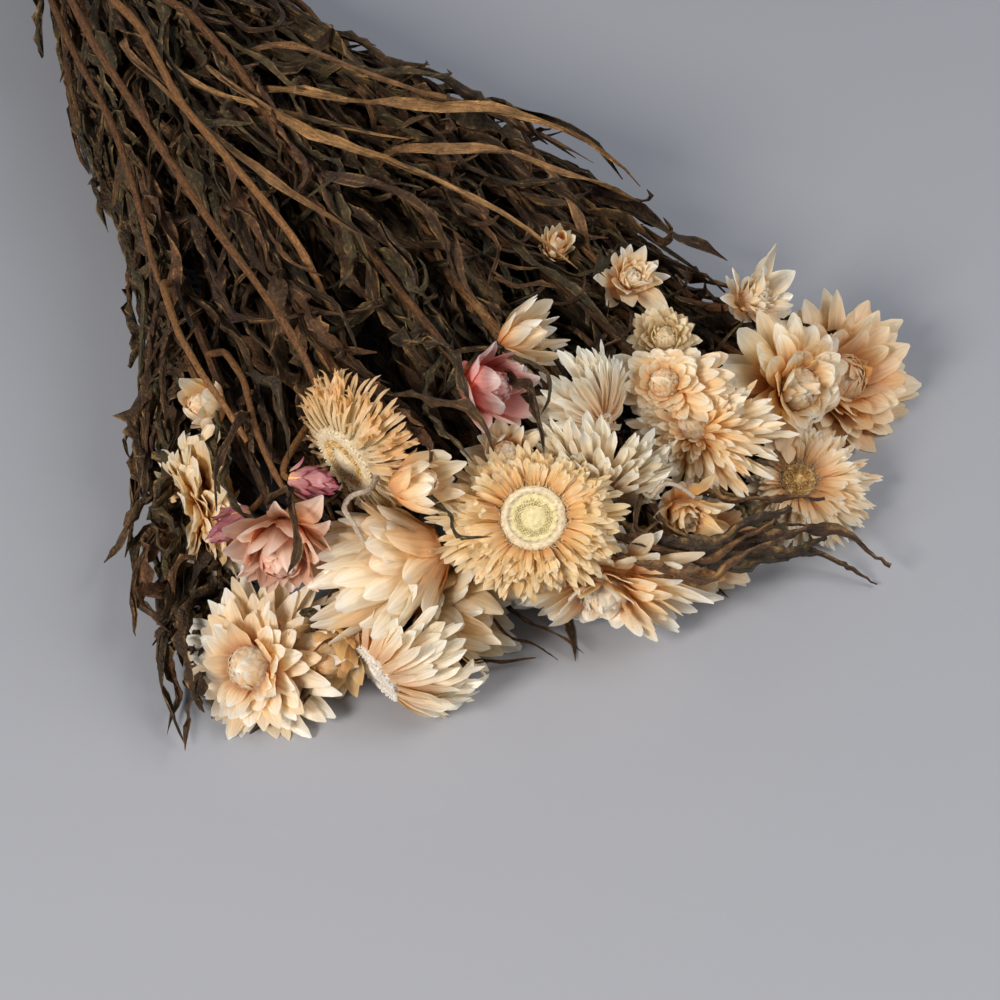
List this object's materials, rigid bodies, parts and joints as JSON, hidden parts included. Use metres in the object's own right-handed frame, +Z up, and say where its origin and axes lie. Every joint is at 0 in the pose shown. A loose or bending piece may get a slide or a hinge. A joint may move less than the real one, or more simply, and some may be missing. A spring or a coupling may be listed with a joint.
{
  "type": "dried strawflower bunch",
  "caption": "Dried strawflower bunch lying on its side: papery cream, peach and pink heads on thin leafy brown stems that fan out from a string tie.",
  "frame": {"origin": "middle of the bounding box's base, on the surface the bunch lies on", "axes": "+X along the bunch from the cut stem ends to the flowers, +Y across the fan, +Z up"},
  "size_m": [0.5032, 0.2186, 0.0725],
  "materials": {
    "stem_and_leaf": "matte",
    "jute": "matte",
    "bracts_ivory": "matte",
    "bracts_cream": "matte",
    "bracts_peach": "matte",
    "bracts_amber": "matte",
    "bracts_yellow": "matte",
    "bracts_straw": "matte",
    "bracts_blush": "matte",
    "bracts_pink": "matte",
    "bracts_magenta": "matte"
  },
  "bodies": {
    "root": {"flower_head_01": "bracts_cream", "flower_head_02": "bracts_cream", "flower_head_03": "bracts_magenta", "flower_head_04": "bracts_magenta", "flower_head_05": "bracts_blush", "flower_head_06": "bracts_amber", "flower_head_07": "bracts_cream", "flower_head_08": "bracts_yellow", "flower_head_09": "bracts_cream", "flower_head_10": "bracts_ivory", "flower_head_11": "bracts_ivory", "flower_head_12": "bracts_peach", "flower_head_13": "bracts_cream", "flower_head_14": "bracts_peach", "flower_head_15": "bracts_pink", "flower_head_16": "bracts_ivory", "flower_head_17": "bracts_ivory", "flower_head_18": "bracts_ivory", "flower_head_19": "bracts_cream", "flower_head_20": "bracts_ivory", "flower_head_21": "bracts_straw", "flower_head_22": "bracts_ivory", "flower_head_23": "bracts_cream", "flower_head_24": "bracts_ivory", "flower_head_25": "bracts_peach", "flower_head_26": "bracts_amber", "flower_head_27": "bracts_peach", "flower_head_28": "bracts_peach", "flower_head_29": "bracts_ivory", "flower_head_30": "bracts_amber", "leafy_stem_01": "stem_and_leaf", "leafy_stem_02": "stem_and_leaf", "leafy_stem_03": "stem_and_leaf", "leafy_stem_04": "stem_and_leaf", "leafy_stem_05": "stem_and_leaf", "leafy_stem_06": "stem_and_leaf", "leafy_stem_07": "stem_and_leaf", "leafy_stem_08": "stem_and_leaf", "leafy_stem_09": "stem_and_leaf", "leafy_stem_10": "stem_and_leaf", "leafy_stem_11": "stem_and_leaf", "leafy_stem_12": "stem_and_leaf", "leafy_stem_13": "stem_and_leaf", "leafy_stem_14": "stem_and_leaf", "leafy_stem_15": "stem_and_leaf", "leafy_stem_16": "stem_and_leaf", "leafy_stem_17": "stem_and_leaf", "leafy_stem_18": "stem_and_leaf", "leafy_stem_19": "stem_and_leaf", "leafy_stem_20": "stem_and_leaf", "leafy_stem_21": "stem_and_leaf", "leafy_stem_22": "stem_and_leaf", "leafy_stem_23": "stem_and_leaf", "leafy_stem_24": "stem_and_leaf", "leafy_stem_25": "stem_and_leaf", "leafy_stem_26": "stem_and_leaf", "leafy_stem_27": "stem_and_leaf", "leafy_stem_28": "stem_and_leaf", "twine": "jute"}
  },
  "joints": []
}
